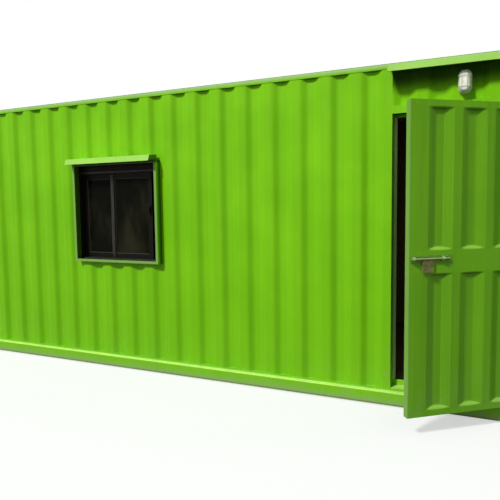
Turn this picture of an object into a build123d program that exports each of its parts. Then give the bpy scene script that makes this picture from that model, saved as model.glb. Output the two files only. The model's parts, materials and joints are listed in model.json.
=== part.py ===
from build123d import *
import math
import os

# Portable site cabin: ribbed steel walls on a frame with corner castings, lined inside, with one
# outward door on a slide bolt, one sliding window, a folded hood over each and a light over the door.
# The origin is the centre of the base on the ground. +X runs along the front wall to the right,
# +Y from the front wall to the back wall and +Z up. Lengths are millimetres, angles are degrees.

# Overall size
cabin_length = 6058
cabin_width = 2438
cabin_height = 2591

# Corner castings, with the slots that lifting and stacking locks turn in
casting_length = 178
casting_width = 162
casting_height = 118
casting_plate = 28
casting_wall = 16
slot_length = 124
slot_width = 63.5
slot_inset_x = 102.5
slot_inset_y = 89.5
side_slot_length = 79
side_slot_width = 51

# Bottom rails: a hollow pressing whose ledge slopes up to the wall sheet
rail_height = 112
rail_face = 100
rail_ledge = 48
rail_seat = 60
rail_wall = 4

# Floor
member_height = 100
member_width = 45
member_wall = 4
member_pitch = 560
member_inset = 229
floor_thickness = 28

# Corner posts and top rails
post_length = 120
post_width = 110
post_wall = 5
post_radius = 12
top_rail_height = 40
top_rail_width = 60
top_rail_wall = 3
roof_drop = 26

# Ribbed wall sheets
sheet_thickness = 2
rib_pitch = 243.6
rib_floor = 64
rib_slope = 48
rib_depth = 31
rib_to_opening = 153
rib_margin = 60

# Roof sheet with pressed cross ribs
roof_rib_pitch = 240
roof_rib_width = 130
roof_rib_height = 18
roof_rib_slope = 9
roof_margin = 120

# Lining
lining_thickness = 9
ceiling_drop = 73
lining_lap = 10

# Doorway
opening_width = 1000
opening_drop = 322
jamb_width = 50
frame_wall = 3
rebate_depth = 92
stop_depth = 14
stop_width = 20
sill_height = 12
sill_stop_height = 40
lintel_height = 54

# Door leaf, hung inside the rebate and shown part open
door_angle = 40
leaf_thickness = 48
leaf_gap = 8
leaf_head_gap = 6
leaf_floor_gap = 8
leaf_stop_gap = 5
leaf_tube = 40
leaf_tube_wall = 2
mid_rail_height = 148
mid_rail_base = 952
door_rib_pitch = 245
door_rib_floor = 60
door_rib_slope = 58
door_rib_end = 20
door_rib_depth = 24
door_rib_count = 3
door_rib_margin = 8
door_rib_shift = 22

# Door hinges: two knuckles on one pin, the lower on the jamb and the upper on the leaf
hinge_setback = 12
knuckle_radius = 11
knuckle_height = 55
knuckle_gap = 0.4
pin_radius = 5
pin_clearance = 0.3
pin_length = 45
tab_thickness = 8
hinge_height_shares = (0.12, 0.5, 0.88)

# Slide bolt on the mid rail
bolt_radius = 8
bolt_length = 280
bolt_standoff = 14
bolt_setback = 6
bolt_height_share = 0.64
bolt_clearance = 0.5
guide_width = 20
guide_height = 36
guide_plate_length = 300
guide_plate_height = 50
guide_plate_thickness = 3
guide_edge = 15
guide_pitch = 215
hasp_length = 80
hasp_drop = 88
hasp_thickness = 6
hasp_from_tip = 84
keep_clearance = 5

# Window
window_width = 980
window_height = 945
window_base = 1015
window_to_opening = 2089
surround_proud = 40
surround_wall = 4
surround_flange = 24
glazing_setback = 86
glazing_depth = 60
glazing_bar = 30
glazing_head = 100
sash_bar = 46
sash_depth = 20
sash_gap = 4
sash_overlap = 46
sash_open = 80
glass_thickness = 5

# Folded hoods over the window and the door
hood_sheet = 2
hood_lip = 15
hood_flange = 30
window_hood_overhang = 12
window_hood_inset = 16
window_hood_rise = 51
window_hood_reach = 130
window_hood_lean = 20
window_hood_fall = 11
window_hood_fascia = 51
door_hood_overhang = 13
door_hood_inset = 12
door_hood_reach = 130
door_hood_lean = 20
door_hood_fall = 19
door_hood_fascia = 43
door_hood_drop = 20

# Bulkhead light
light_width = 90
light_height = 162
light_base_depth = 22
light_bezel = 9
lens_depth = 48
lens_fillet = 22
light_over_lintel = 41

# One overrun serves all cuts
overrun = 10

UP = Vector(0, 0, 1)
FRONT = Vector(0, -1, 0)
BACK = Vector(0, 1, 0)
LEFT = Vector(-1, 0, 0)
RIGHT = Vector(1, 0, 0)

# Levels
rail_base = casting_height - rail_height
rail_top = casting_height
floor_top = rail_top + floor_thickness
top_rail_top = cabin_height - roof_drop
wall_top = top_rail_top - top_rail_height
casting_underside = cabin_height - casting_height
ceiling_base = wall_top - ceiling_drop
sill_top = rail_top + sill_height
opening_top = wall_top - opening_drop
window_top = window_base + window_height

# Wall sheets and what stands behind them
sheet_x = cabin_length / 2 - rail_ledge
sheet_y = cabin_width / 2 - rail_ledge
frame_depth = rebate_depth + stop_depth
board_x = sheet_x - frame_depth
board_y = sheet_y - frame_depth
room_x = board_x - lining_thickness
room_y = board_y - lining_thickness
post_x = cabin_length / 2 - post_length
post_y = cabin_width / 2 - post_width
rail_run_x = cabin_length - 2 * casting_length
rail_run_y = cabin_width - 2 * casting_width
casting_span_x = cabin_length - casting_length
casting_span_y = cabin_width - casting_width
slot_spacing_x = cabin_length - 2 * slot_inset_x
slot_spacing_y = cabin_width - 2 * slot_inset_y

# Doorway and window along the front wall
opening_right = post_x - jamb_width
opening_left = opening_right - opening_width
opening_centre = (opening_left + opening_right) / 2
jamb_left = opening_left - jamb_width
window_centre = opening_left - window_to_opening - window_width / 2
window_left = window_centre - window_width / 2
window_right = window_centre + window_width / 2

os.makedirs("parts", exist_ok=True)


def save(piece, name):
    """Name a finished piece and write its file."""
    piece.part.label = name
    export_step(piece.part, f"parts/{name}.step")


def section_plane(outward, reach, run):
    """Plane across one side of the cabin: x points outwards from the wall sheet, y points up."""
    along = outward.cross(UP)
    return Plane(origin=outward * reach - along * (run / 2), x_dir=outward, z_dir=along)


def plan_plane(outward, reach, level):
    """Level plane on one side of the cabin: x runs along the wall, y points inwards."""
    along = UP.cross(outward)
    return Plane(origin=outward * reach + UP * level, x_dir=along, z_dir=UP)


def box_between(low, high):
    """Add a block between two corners to the piece in hand."""
    size = [b - a for a, b in zip(low, high)]
    middle = tuple((a + b) / 2 for a, b in zip(low, high))
    with Locations(middle):
        Box(*size)


def board(name, *spans):
    """Save one or more flat boards, each given by its lowest and highest corner."""
    with BuildPart() as panel:
        for low, high in spans:
            box_between(low, high)
    save(panel, name)


def notch_for_top_castings():
    """Cut the piece in hand back round the four top corner castings."""
    with Locations((0, 0, cabin_height - casting_height / 2)):
        with GridLocations(casting_span_x, casting_span_y, 2, 2):
            Box(casting_length, casting_width, casting_height, mode=Mode.SUBTRACT)


def ribbed_outline(start, end, centres):
    """Closed outline of a ribbed wall sheet: flat crests at zero and ribs sunk inwards."""
    face = [(start, 0)]
    for centre in centres:
        face.append((centre - rib_floor / 2 - rib_slope, 0))
        face.append((centre - rib_floor / 2, rib_depth))
        face.append((centre + rib_floor / 2, rib_depth))
        face.append((centre + rib_floor / 2 + rib_slope, 0))
    face.append((end, 0))
    back = [(x, y + sheet_thickness) for x, y in reversed(face)]
    return face + back


def rib_centres(start, end, fixed):
    """Centres of the ribs that fit between two edges, in step with one fixed rib."""
    room = rib_floor / 2 + rib_slope + rib_margin
    first = math.ceil((start + room - fixed) / rib_pitch)
    last = math.floor((end - room - fixed) / rib_pitch)
    return [fixed + n * rib_pitch for n in range(first, last + 1)]


def wall_sheet(name, outward, reach, half_run, fixed, left, right, base, top):
    """Save one ribbed sheet: the part of a whole wall's rib pattern between two edges."""
    depth = rib_depth + sheet_thickness
    centres = rib_centres(-half_run, half_run, fixed)
    with BuildPart() as sheet:
        with BuildSketch(plan_plane(outward, reach, base)):
            with BuildLine():
                Polyline(*ribbed_outline(-half_run, half_run, centres), close=True)
            make_face()
            with Locations(((left + right) / 2, depth / 2)):
                Rectangle(right - left, depth + 2 * overrun, mode=Mode.INTERSECT)
        extrude(amount=top - base)
        notch_for_top_castings()
    save(sheet, name)


def castings(name, base, plate_side):
    """Save the four hollow castings of one level; plate_side is -1 for a slot below, 1 for above."""
    middle = base + casting_height / 2
    cavity_height = casting_height - casting_plate - casting_wall
    cavity_middle = middle - plate_side * (casting_plate - casting_wall) / 2
    plate_face = middle + plate_side * casting_height / 2
    with BuildPart() as group:
        with Locations((0, 0, middle)):
            with GridLocations(casting_span_x, casting_span_y, 2, 2):
                Box(casting_length, casting_width, casting_height)
        with Locations((0, 0, cavity_middle)):
            with GridLocations(casting_span_x, casting_span_y, 2, 2):
                Box(
                    casting_length - 2 * casting_wall,
                    casting_width - 2 * casting_wall,
                    cavity_height,
                    mode=Mode.SUBTRACT,
                )
        with BuildSketch(Plane.XY.offset(plate_face)):
            with GridLocations(slot_spacing_x, slot_spacing_y, 2, 2):
                SlotOverall(slot_length, slot_width)
        extrude(amount=-plate_side * (casting_plate + overrun), mode=Mode.SUBTRACT)
        for side in (-1, 1):
            with BuildSketch(Plane.XZ.offset(side * cabin_width / 2)):
                with Locations((-slot_spacing_x / 2, cavity_middle), (slot_spacing_x / 2, cavity_middle)):
                    SlotOverall(side_slot_length, side_slot_width)
            extrude(amount=-side * (casting_wall + overrun), mode=Mode.SUBTRACT)
            with BuildSketch(Plane.YZ.offset(side * cabin_length / 2)):
                with Locations((-slot_spacing_y / 2, cavity_middle), (slot_spacing_y / 2, cavity_middle)):
                    SlotOverall(side_slot_length, side_slot_width)
            extrude(amount=-side * (casting_wall + overrun), mode=Mode.SUBTRACT)
    save(group, name)


castings("corner_castings_bottom", 0, -1)
castings("corner_castings_top", casting_underside, 1)


def bottom_rails(name, reach, run, *sides):
    """Save bottom rails as hollow pressings with a sloping ledge."""
    with BuildPart() as rails:
        for outward in sides:
            with BuildSketch(section_plane(outward, reach, run)):
                with BuildLine():
                    Polyline(
                        (rail_ledge, rail_base),
                        (rail_ledge, rail_base + rail_face),
                        (0, rail_top),
                        (-rail_seat, rail_top),
                        (-rail_seat, rail_base),
                        close=True,
                    )
                make_face()
                offset(amount=-rail_wall, kind=Kind.INTERSECTION, mode=Mode.SUBTRACT)
            extrude(amount=run)
    save(rails, name)


bottom_rails("bottom_rail_front", sheet_y, rail_run_x, FRONT)
bottom_rails("bottom_rail_back", sheet_y, rail_run_x, BACK)
bottom_rails("bottom_end_rails", sheet_x, rail_run_y, LEFT, RIGHT)


def top_rails(name, reach, run, *sides):
    """Save top rails as square hollow tubes whose outer face is flush with the wall sheet."""
    with BuildPart() as rails:
        for outward in sides:
            with BuildSketch(section_plane(outward, reach, run)):
                with Locations((-top_rail_width / 2, top_rail_top - top_rail_height / 2)):
                    Rectangle(top_rail_width, top_rail_height)
                    Rectangle(
                        top_rail_width - 2 * top_rail_wall,
                        top_rail_height - 2 * top_rail_wall,
                        mode=Mode.SUBTRACT,
                    )
            extrude(amount=run)
    save(rails, name)


top_rails("top_rail_front", sheet_y, rail_run_x, FRONT)
top_rails("top_rail_back", sheet_y, rail_run_x, BACK)
top_rails("top_end_rails", sheet_x, rail_run_y, LEFT, RIGHT)

# Corner posts stand on the bottom castings and carry the top ones
with BuildPart() as corner_posts:
    with BuildSketch(Plane.XY.offset(casting_height)):
        with GridLocations(cabin_length - post_length, cabin_width - post_width, 2, 2):
            RectangleRounded(post_length, post_width, post_radius)
            RectangleRounded(
                post_length - 2 * post_wall,
                post_width - 2 * post_wall,
                post_radius - post_wall,
                mode=Mode.SUBTRACT,
            )
    extrude(amount=casting_underside - casting_height)
save(corner_posts, "corner_posts")

# Floor channels between the side rails
member_span = 2 * (sheet_y - rail_seat)
member_run = cabin_length - 2 * member_inset
member_spaces = round(member_run / member_pitch)
member_count = member_spaces + 1
with BuildPart() as floor_cross_members:
    with BuildSketch(Plane.XZ):
        with Locations((0, rail_top - member_height / 2)):
            with GridLocations(member_run / member_spaces, member_height, member_count, 1):
                Rectangle(member_width, member_height)
        with Locations((member_wall, rail_top - member_height / 2)):
            with GridLocations(member_run / member_spaces, member_height, member_count, 1):
                Rectangle(member_width, member_height - 2 * member_wall, mode=Mode.SUBTRACT)
    extrude(amount=member_span / 2, both=True)
save(floor_cross_members, "floor_cross_members")

board("floor_board", ((-board_x, -board_y, rail_top), (board_x, board_y, floor_top)))

# Front wall, split round the window and the doorway
front_fixed = opening_left - rib_to_opening
for sheet_name, left, right, base, top in (
    ("front_wall_left", -post_x, window_left, rail_top, wall_top),
    ("front_wall_over_window", window_left, window_right, window_top, wall_top),
    ("front_wall_under_window", window_left, window_right, rail_top, window_base),
    ("front_wall_middle", window_right, jamb_left, rail_top, wall_top),
    ("front_wall_over_door", opening_left, opening_right, opening_top + lintel_height, wall_top),
):
    wall_sheet(sheet_name, FRONT, sheet_y, post_x, front_fixed, left, right, base, top)

wall_sheet("back_wall", BACK, sheet_y, post_x, 0, -post_x, post_x, rail_top, wall_top)
wall_sheet("left_end_wall", LEFT, sheet_x, post_y, 0, -post_y, post_y, rail_top, wall_top)
wall_sheet("right_end_wall", RIGHT, sheet_x, post_y, 0, -post_y, post_y, rail_top, wall_top)

# Roof sheet with ribs pressed up across the cabin
roof_rib_length = 2 * (sheet_y - roof_margin)
roof_rib_count = math.floor(2 * (sheet_x - roof_margin) / roof_rib_pitch)
roof_rib_taper = math.degrees(math.atan(roof_rib_slope / roof_rib_height))
with BuildPart() as roof_sheet:
    with BuildSketch(Plane.XY.offset(top_rail_top)):
        Rectangle(2 * sheet_x, 2 * sheet_y)
    extrude(amount=sheet_thickness)
    with BuildSketch(Plane.XY.offset(top_rail_top)):
        with GridLocations(roof_rib_pitch, roof_rib_length, roof_rib_count, 1):
            Rectangle(roof_rib_width, roof_rib_length)
    extrude(amount=roof_rib_height + sheet_thickness, taper=roof_rib_taper)
    with BuildSketch(Plane.XY.offset(top_rail_top)):
        with GridLocations(roof_rib_pitch, roof_rib_length, roof_rib_count, 1):
            Rectangle(roof_rib_width - 2 * sheet_thickness, roof_rib_length - 2 * sheet_thickness)
    extrude(amount=roof_rib_height, taper=roof_rib_taper, mode=Mode.SUBTRACT)
    notch_for_top_castings()
save(roof_sheet, "roof_sheet")

# Lining boards stand on the floor board and carry the ceiling
lining_left_of_door = opening_left - lining_lap
board("lining_front_left", ((-board_x, -board_y, floor_top), (window_left, -room_y, ceiling_base)))
board(
    "lining_front_window",
    ((window_left, -board_y, window_top), (window_right, -room_y, ceiling_base)),
    ((window_left, -board_y, floor_top), (window_right, -room_y, window_base)),
)
board(
    "lining_front_middle",
    ((window_right, -board_y, floor_top), (lining_left_of_door, -room_y, ceiling_base)),
)
board(
    "lining_front_over_door",
    ((lining_left_of_door, -board_y, opening_top + lining_lap), (board_x, -room_y, ceiling_base)),
)
board("lining_back", ((-board_x, room_y, floor_top), (board_x, board_y, ceiling_base)))
board("lining_left", ((-board_x, -room_y, floor_top), (-room_x, room_y, ceiling_base)))
board("lining_right", ((room_x, -room_y, floor_top), (board_x, room_y, ceiling_base)))
board(
    "ceiling_lining",
    ((-board_x, -board_y, ceiling_base), (board_x, board_y, ceiling_base + lining_thickness)),
)

# Door leaf datum: the pin stands in the rebate beside the right jamb, in front of the closed leaf
leaf_width = opening_width - 2 * leaf_gap
leaf_base = sill_top + leaf_floor_gap
leaf_top = opening_top - leaf_head_gap
leaf_height = leaf_top - leaf_base
leaf_face_depth = rebate_depth - leaf_stop_gap - leaf_thickness
pin_x = opening_right - hinge_setback
pin_y = -sheet_y + leaf_face_depth - hinge_setback
leaf_start = leaf_gap - hinge_setback
leaf_end = leaf_start + leaf_width
leaf_face = -hinge_setback
leaf_back = leaf_face - leaf_thickness
bolt_level = leaf_base + mid_rail_base + bolt_height_share * mid_rail_height
bolt_axis = leaf_face + bolt_standoff
along_leaf = Vector(-math.cos(math.radians(door_angle)), -math.sin(math.radians(door_angle)), 0)
out_of_leaf = along_leaf.cross(UP) * -1


def leaf_plan(level):
    """Level plane at the hinge pin: x runs along the leaf to its free edge, y out of its face."""
    return Plane(origin=(pin_x, pin_y, level), x_dir=along_leaf, z_dir=UP)


def leaf_section(distance):
    """Plane across the leaf at a distance from the pin: x points out of its face, y points up."""
    origin = Vector(pin_x, pin_y, 0) + along_leaf * distance
    return Plane(origin=origin, x_dir=out_of_leaf, z_dir=along_leaf)


# Door jambs: hollow uprights with a stop bar at the back of the rebate
stop_base = sill_top + sill_stop_height
stop_top = opening_top - stop_width


def jamb(name, left, side, top):
    """Save one jamb; side is 1 where the opening lies to its right and -1 to its left."""
    reveal = left if side < 0 else left + jamb_width
    with BuildPart() as post:
        with BuildSketch(plan_plane(FRONT, sheet_y, rail_top)):
            with Locations((left + jamb_width / 2, frame_depth / 2)):
                Rectangle(jamb_width, frame_depth)
                Rectangle(jamb_width - 2 * frame_wall, frame_depth - 2 * frame_wall, mode=Mode.SUBTRACT)
        extrude(amount=top - rail_top)
        with BuildSketch(plan_plane(FRONT, sheet_y, stop_base)):
            with Locations((reveal + side * stop_width / 2, rebate_depth + stop_depth / 2)):
                Rectangle(stop_width, stop_depth)
        extrude(amount=stop_top - stop_base)
        if side > 0:
            with BuildSketch(Plane.YZ.offset(reveal)):
                with Locations((pin_y - bolt_axis, bolt_level)):
                    Circle(bolt_radius + keep_clearance)
            extrude(amount=-(frame_wall + overrun), mode=Mode.SUBTRACT)
    save(post, name)


jamb("door_jamb_left", jamb_left, 1, wall_top)
jamb("door_jamb_right", opening_right, -1, casting_underside)

# Lintel and sill: hollow sections with the same stop, set between the jambs
opening_plane = Plane(origin=(opening_right, -sheet_y, 0), x_dir=FRONT, z_dir=LEFT)
with BuildPart() as door_lintel:
    with BuildSketch(opening_plane):
        with BuildLine():
            Polyline(
                (0, opening_top),
                (-rebate_depth, opening_top),
                (-rebate_depth, stop_top),
                (-frame_depth, stop_top),
                (-frame_depth, opening_top + lintel_height),
                (0, opening_top + lintel_height),
                close=True,
            )
        make_face()
        offset(amount=-frame_wall, kind=Kind.INTERSECTION, mode=Mode.SUBTRACT)
    extrude(amount=opening_width)
save(door_lintel, "door_lintel")

with BuildPart() as door_sill:
    with BuildSketch(opening_plane):
        with BuildLine():
            Polyline(
                (0, rail_top),
                (0, sill_top),
                (-rebate_depth, sill_top),
                (-rebate_depth, stop_base),
                (-frame_depth, stop_base),
                (-frame_depth, rail_top),
                close=True,
            )
        make_face()
        offset(amount=-frame_wall, kind=Kind.INTERSECTION, mode=Mode.SUBTRACT)
    extrude(amount=opening_width)
save(door_sill, "door_sill")

# Door leaf: tube frame with a deep mid rail, and a pressed sheet above and below it
mid_rail_top = leaf_base + mid_rail_base + mid_rail_height
with BuildPart() as door_frame:
    with BuildSketch(leaf_plan(leaf_base)):
        for stile_start in (leaf_start, leaf_end - leaf_tube):
            with Locations((stile_start + leaf_tube / 2, (leaf_face + leaf_back) / 2)):
                Rectangle(leaf_tube, leaf_thickness)
                Rectangle(
                    leaf_tube - 2 * leaf_tube_wall,
                    leaf_thickness - 2 * leaf_tube_wall,
                    mode=Mode.SUBTRACT,
                )
    extrude(amount=leaf_height)
    with BuildSketch(leaf_section(leaf_start + leaf_tube)):
        for rail_start, height in (
            (leaf_base, leaf_tube),
            (leaf_base + mid_rail_base, mid_rail_height),
            (leaf_top - leaf_tube, leaf_tube),
        ):
            with Locations(((leaf_face + leaf_back) / 2, rail_start + height / 2)):
                Rectangle(leaf_thickness, height)
                Rectangle(
                    leaf_thickness - 2 * leaf_tube_wall,
                    height - 2 * leaf_tube_wall,
                    mode=Mode.SUBTRACT,
                )
    extrude(amount=leaf_width - 2 * leaf_tube)
save(door_frame, "door_frame")


def pocket_edge(run, depth, wall):
    """How far a pocket's side stands out from the foot of its slope, at a depth and for a wall."""
    slope_length = math.hypot(run, door_rib_depth)
    return run * (1 - depth / door_rib_depth) + wall * slope_length / door_rib_depth


def door_sheet(name, base, top):
    """Save one sheet of the leaf: flush with the leaf frame, with pockets pressed in from its face."""
    middle = Vector(pin_x, pin_y, (base + top) / 2) + along_leaf * (leaf_start + leaf_end) / 2
    face_plane = Plane(origin=middle + out_of_leaf * leaf_face, x_dir=along_leaf, z_dir=out_of_leaf)
    floor_height = top - base - 2 * (door_rib_margin + door_rib_end)
    with BuildPart() as sheet:
        with BuildSketch(face_plane):
            Rectangle(leaf_width - 2 * leaf_tube, top - base)
        extrude(amount=-sheet_thickness)
        for wall, mode in ((sheet_thickness, Mode.ADD), (0, Mode.SUBTRACT)):
            for n in range(door_rib_count):
                centre = door_rib_shift + (n - (door_rib_count - 1) / 2) * door_rib_pitch
                for depth in (0, door_rib_depth + wall):
                    with BuildSketch(face_plane.offset(-depth)):
                        with Locations((centre, 0)):
                            Rectangle(
                                door_rib_floor + 2 * pocket_edge(door_rib_slope, depth, wall),
                                floor_height + 2 * pocket_edge(door_rib_end, depth, wall),
                            )
                loft(ruled=True, mode=mode)
    save(sheet, name)


door_sheet("door_sheet_lower", leaf_base + leaf_tube, leaf_base + mid_rail_base)
door_sheet("door_sheet_upper", mid_rail_top, leaf_top - leaf_tube)

# Hinges
hinge_levels = [leaf_base + share * leaf_height for share in hinge_height_shares]
with BuildPart() as jamb_hinges:
    for level in hinge_levels:
        with BuildSketch(Plane.XY.offset(level - knuckle_height)):
            with Locations((pin_x, pin_y)):
                Circle(knuckle_radius)
            with Locations((pin_x + hinge_setback / 2, pin_y)):
                Rectangle(hinge_setback, tab_thickness)
        extrude(amount=knuckle_height)
        with BuildSketch(Plane.XY.offset(level)):
            with Locations((pin_x, pin_y)):
                Circle(pin_radius)
        extrude(amount=pin_length)
save(jamb_hinges, "jamb_hinges")

with BuildPart() as leaf_hinges:
    for level in hinge_levels:
        with BuildSketch(leaf_plan(level + knuckle_gap)):
            Circle(knuckle_radius)
            with Locations((0, leaf_face / 2)):
                Rectangle(tab_thickness, hinge_setback)
        extrude(amount=knuckle_height)
        with BuildSketch(leaf_plan(level + knuckle_gap)):
            Circle(pin_radius + pin_clearance)
        extrude(amount=pin_length + pin_clearance, mode=Mode.SUBTRACT)
save(leaf_hinges, "leaf_hinges")

# Slide bolt: guides on a plate, and a rod with a hasp plate welded under it
guide_end = leaf_end - guide_edge
with BuildPart() as bolt_guides:
    with BuildSketch(leaf_section(guide_end - guide_plate_length)):
        with Locations((leaf_face + guide_plate_thickness / 2, bolt_level)):
            Rectangle(guide_plate_thickness, guide_plate_height)
    extrude(amount=guide_plate_length)
    for guide_start in (guide_end - guide_width, guide_end - guide_width - guide_pitch):
        with BuildSketch(leaf_section(guide_start)):
            with BuildLine():
                Polyline(
                    (leaf_face, bolt_level - guide_height / 2),
                    (bolt_axis, bolt_level - guide_height / 2),
                    (bolt_axis + guide_height / 2, bolt_level),
                    (bolt_axis, bolt_level + guide_height / 2),
                    (leaf_face, bolt_level + guide_height / 2),
                    close=True,
                )
            make_face()
        extrude(amount=guide_width)
        with BuildSketch(leaf_section(guide_start)):
            with Locations((bolt_axis, bolt_level)):
                Circle(bolt_radius + bolt_clearance)
        extrude(amount=guide_width, mode=Mode.SUBTRACT)
save(bolt_guides, "bolt_guides")

bolt_tip = leaf_end - bolt_setback
with BuildPart() as slide_bolt:
    with BuildSketch(leaf_section(bolt_tip - bolt_length)):
        with Locations((bolt_axis, bolt_level)):
            Circle(bolt_radius)
    extrude(amount=bolt_length)
    with BuildSketch(leaf_section(bolt_tip - hasp_from_tip - hasp_length)):
        with Locations((bolt_axis, bolt_level - hasp_drop / 2)):
            Rectangle(hasp_thickness, hasp_drop)
    extrude(amount=hasp_length)
save(slide_bolt, "slide_bolt")

# Window: steel surround through the wall, sliding sashes in an aluminium frame
surround_face = -sheet_y - surround_proud
surround_depth = surround_proud + frame_depth + lining_thickness
window_middle = window_base + window_height / 2


def window_plane(distance):
    """Upright plane at a distance behind the surround's front edge, x to the right, y up."""
    origin = (window_centre, surround_face + distance, window_middle)
    return Plane(origin=origin, x_dir=RIGHT, z_dir=FRONT)


def ring(width, height, bar):
    """Draw a rectangular ring of one bar width on the sketch in hand."""
    Rectangle(width, height)
    Rectangle(width - 2 * bar, height - 2 * bar, mode=Mode.SUBTRACT)


with BuildPart() as window_surround:
    with BuildSketch(window_plane(0)):
        ring(window_width, window_height, surround_wall)
    extrude(amount=-surround_depth)
    with BuildSketch(window_plane(0)):
        ring(window_width, window_height, surround_flange)
    extrude(amount=-surround_wall)
save(window_surround, "window_surround")

glazing_width = window_width - 2 * surround_wall
glazing_height = window_height - 2 * surround_wall
light_opening_width = glazing_width - 2 * glazing_bar
light_opening_height = glazing_height - glazing_bar - glazing_head
sash_level = (glazing_bar - glazing_head) / 2
with BuildPart() as window_frame:
    with BuildSketch(window_plane(glazing_setback)):
        Rectangle(glazing_width, glazing_height)
        with Locations((0, sash_level)):
            Rectangle(light_opening_width, light_opening_height, mode=Mode.SUBTRACT)
    extrude(amount=-glazing_depth)
save(window_frame, "window_frame")

sash_width = (light_opening_width + sash_overlap) / 2
sash_side = (light_opening_width - sash_width) / 2
outer_track = glazing_setback + (glazing_depth - 2 * sash_depth - sash_gap) / 2
inner_track = outer_track + sash_depth + sash_gap
sash_places = ((-sash_side, inner_track), (sash_side - sash_open, outer_track))
with BuildPart() as window_sashes:
    for place, track in sash_places:
        with BuildSketch(window_plane(track)):
            with Locations((place, sash_level)):
                ring(sash_width, light_opening_height, sash_bar)
        extrude(amount=-sash_depth)
save(window_sashes, "window_sashes")

with BuildPart() as window_glass:
    for place, track in sash_places:
        with BuildSketch(window_plane(track + (sash_depth - glass_thickness) / 2)):
            with Locations((place, sash_level)):
                Rectangle(sash_width - 2 * sash_bar, light_opening_height - 2 * sash_bar)
        extrude(amount=-glass_thickness)
save(window_glass, "window_glass")


def folded_hood(name, left, right, crown, reach, lean, fall, fascia):
    """Save a folded sheet hood: wall flange, sloping top, leaning fascia, return lip and two cheeks."""
    hood_plane = Plane(origin=(right, -sheet_y, 0), x_dir=FRONT, z_dir=LEFT)
    edge = crown - fall
    lip = edge - fascia
    with BuildPart() as hood:
        with BuildSketch(hood_plane):
            with BuildLine():
                Polyline(
                    (0, crown - hood_flange),
                    (0, crown),
                    (reach - lean, edge),
                    (reach, lip),
                    (reach - hood_lip, lip),
                )
                offset(amount=hood_sheet, side=Side.RIGHT, kind=Kind.INTERSECTION)
            make_face()
        extrude(amount=right - left)
        for start in (right, left + hood_sheet):
            with BuildSketch(Plane(origin=(start, -sheet_y, 0), x_dir=FRONT, z_dir=LEFT)):
                with BuildLine():
                    Polyline(
                        (0, crown - hood_flange),
                        (0, crown),
                        (reach - lean, edge),
                        (reach, lip),
                        close=True,
                    )
                make_face()
            extrude(amount=hood_sheet)
    save(hood, name)


folded_hood(
    "window_hood",
    window_left - window_hood_overhang,
    window_right - window_hood_inset,
    window_top + window_hood_rise,
    window_hood_reach,
    window_hood_lean,
    window_hood_fall,
    window_hood_fascia,
)
folded_hood(
    "door_canopy",
    opening_left - door_hood_overhang,
    opening_right - door_hood_inset,
    top_rail_top - door_hood_drop,
    door_hood_reach,
    door_hood_lean,
    door_hood_fall,
    door_hood_fascia,
)

# Bulkhead light on the wall over the door
light_middle = opening_top + lintel_height + light_over_lintel + light_height / 2
light_plane = Plane(origin=(opening_centre, -sheet_y, light_middle), x_dir=UP, z_dir=FRONT)
with BuildPart() as light_base:
    with BuildSketch(light_plane):
        SlotOverall(light_height, light_width)
    extrude(amount=light_base_depth)
save(light_base, "light_base")

with BuildPart() as light_lens:
    with BuildSketch(light_plane.offset(light_base_depth)):
        SlotOverall(light_height - 2 * light_bezel, light_width - 2 * light_bezel)
    extrude(amount=lens_depth)
    fillet(light_lens.faces().sort_by(Axis.Y)[0].edges(), lens_fillet)
save(light_lens, "light_lens")
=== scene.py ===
import json
from math import copysign, cos, pi, radians, sin, sqrt

import bmesh
import bpy
from bmesh.types import BMEdge, BMVert
from bpy.props import FloatProperty, FloatVectorProperty, IntProperty, PointerProperty
from mathutils import Matrix, Vector


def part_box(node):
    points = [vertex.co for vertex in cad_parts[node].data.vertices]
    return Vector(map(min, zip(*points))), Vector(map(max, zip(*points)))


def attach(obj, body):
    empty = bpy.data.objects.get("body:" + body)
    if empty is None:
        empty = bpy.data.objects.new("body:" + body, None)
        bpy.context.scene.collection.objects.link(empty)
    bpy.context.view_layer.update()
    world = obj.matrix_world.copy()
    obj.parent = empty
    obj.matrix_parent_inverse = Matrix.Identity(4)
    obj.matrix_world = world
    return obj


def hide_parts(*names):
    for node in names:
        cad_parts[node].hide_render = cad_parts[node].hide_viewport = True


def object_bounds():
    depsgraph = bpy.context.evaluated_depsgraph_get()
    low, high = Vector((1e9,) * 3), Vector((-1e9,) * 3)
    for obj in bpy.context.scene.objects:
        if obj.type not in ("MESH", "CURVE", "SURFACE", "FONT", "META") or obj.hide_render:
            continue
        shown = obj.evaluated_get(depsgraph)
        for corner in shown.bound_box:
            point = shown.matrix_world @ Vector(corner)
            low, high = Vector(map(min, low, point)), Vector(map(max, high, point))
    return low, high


bl_info = {
    "name": "Portable Site Cabin",
    "version": (1, 0, 0),
    "blender": (4, 5, 0),
    "location": "3D View > Sidebar > Cabin",
    "description": "Dresses the packed site cabin with its paint, welds, window and door fittings",
    "category": "Object",
}

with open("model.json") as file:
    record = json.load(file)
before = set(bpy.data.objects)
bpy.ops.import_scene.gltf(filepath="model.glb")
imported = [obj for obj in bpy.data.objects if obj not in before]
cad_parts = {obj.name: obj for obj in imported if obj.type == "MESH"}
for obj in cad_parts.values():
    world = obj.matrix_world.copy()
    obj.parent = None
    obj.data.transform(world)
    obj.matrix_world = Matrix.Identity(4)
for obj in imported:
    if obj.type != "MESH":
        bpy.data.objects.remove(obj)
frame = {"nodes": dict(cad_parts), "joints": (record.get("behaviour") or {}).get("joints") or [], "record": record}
CAD_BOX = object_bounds()

# Directions, with right and left as seen from in front
UP, DOWN = Vector((0, 0, 1)), Vector((0, 0, -1))
RIGHT, LEFT = Vector((1, 0, 0)), Vector((-1, 0, 0))
AHEAD, BACK = Vector((0, -1, 0)), Vector((0, 1, 0))

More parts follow.
